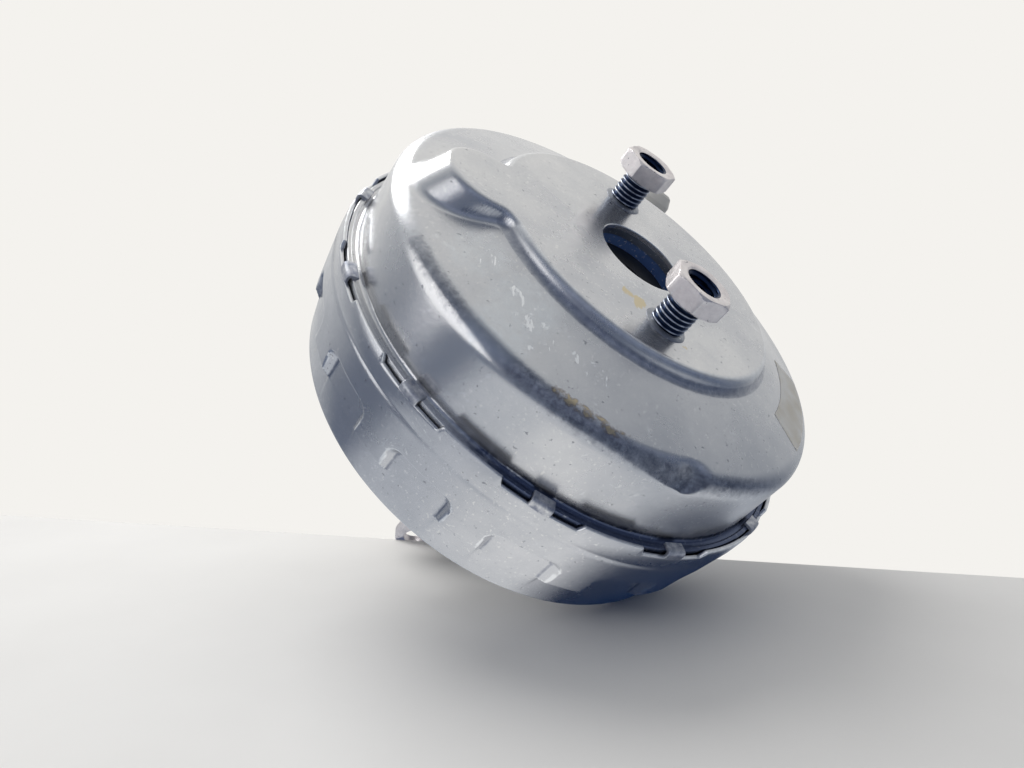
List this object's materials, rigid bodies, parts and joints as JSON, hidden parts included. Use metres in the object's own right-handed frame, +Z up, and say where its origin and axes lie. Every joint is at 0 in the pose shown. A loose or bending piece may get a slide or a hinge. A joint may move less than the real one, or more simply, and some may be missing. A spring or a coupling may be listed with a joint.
{
  "type": "vacuum brake booster",
  "caption": "Single-diaphragm vacuum brake booster: two crimped steel shells, front studs and pilot hole for the master cylinder, rear studs, push rod with clevis.",
  "frame": {"origin": "centre of the rear mounting face, on the booster's axis", "axes": "-Y along the booster's axis towards the front face, where the master cylinder bolts on; +X across, through the two front studs; +Z up, towards the front shell's lobe"},
  "size_m": [0.19, 0.2016, 0.19],
  "materials": {
    "shell_zinc": "zinc-plated pressed steel, satin grey with a blue cast, scuffed",
    "pressed_steel": "plain pressed steel",
    "dark_steel": "dark phosphated steel",
    "stud_steel": "zinc-plated steel",
    "nut_steel": "bright zinc-plated steel",
    "spring_steel": "spring wire",
    "black_rubber": "moulded black rubber",
    "dark_plastic": "moulded phenolic plastic",
    "pale_plastic": "moulded pale nylon",
    "felt": "pressed felt",
    "foam": "open-cell foam"
  },
  "bodies": {
    "housing": {"front_shell": "shell_zinc", "rear_shell": "shell_zinc", "front_plate": "pressed_steel", "rear_plate": "pressed_steel", "front_studs": "stud_steel", "front_nuts": "nut_steel", "rear_studs": "stud_steel", "seal_carrier": "dark_steel", "front_seal": "black_rubber", "guide_bush": "pale_plastic", "rear_seal": "black_rubber", "seal_retainer": "pressed_steel", "dust_boot": "black_rubber", "diaphragm": "black_rubber", "return_spring": "spring_steel", "valve_grommet": "black_rubber", "check_valve_base": "pale_plastic", "check_valve_cap": "pale_plastic", "check_valve_spring": "spring_steel"},
    "power_piston": {"diaphragm_plate": "pressed_steel", "valve_body": "dark_plastic", "stop_key": "pressed_steel", "reaction_disc": "black_rubber", "output_rod": "stud_steel", "output_rod_tip": "nut_steel", "rod_retainer": "pressed_steel", "poppet_valve": "black_rubber", "poppet_retainer": "pressed_steel", "poppet_spring": "spring_steel", "rod_return_spring": "spring_steel", "silencer": "felt", "air_filter": "foam", "filter_cap": "dark_plastic"},
    "valve_plunger": {"plunger": "stud_steel"},
    "input_rod": {"input_rod": "stud_steel", "rod_spring_seat": "pressed_steel", "lock_nut": "nut_steel", "clevis": "nut_steel"},
    "check_valve": {"check_valve_disc": "black_rubber"}
  },
  "joints": [
    {"name": "piston_slide", "type": "slide", "parent": "housing", "child": "power_piston", "axis": [0, -1, 0], "range_m": [0, 0.03], "stiffness_N_per_m": 1500, "springref_m": -0.04, "deforming": ["return_spring", "diaphragm", "dust_boot"]},
    {"name": "plunger_slide", "type": "slide", "parent": "power_piston", "child": "valve_plunger", "axis": [0, -1, 0], "range_m": [0, 0.0025], "stiffness_N_per_m": 2000, "springref_m": -0.01, "deforming": ["poppet_valve", "poppet_spring", "rod_return_spring"]},
    {"name": "rod_tilt", "type": "hinge", "parent": "valve_plunger", "child": "input_rod", "pos_m": [0, 0.004, 0], "axis": [1, 0, 0], "range_deg": [-3, 3], "stiffness_Nm_per_rad": 2},
    {"name": "check_valve_lift", "type": "slide", "parent": "housing", "child": "check_valve", "axis": [0.2591, -0.9604, -0.1021], "range_m": [0, 0.0012], "stiffness_N_per_m": 300, "springref_m": -0.002, "deforming": ["check_valve_spring"]}
  ]
}
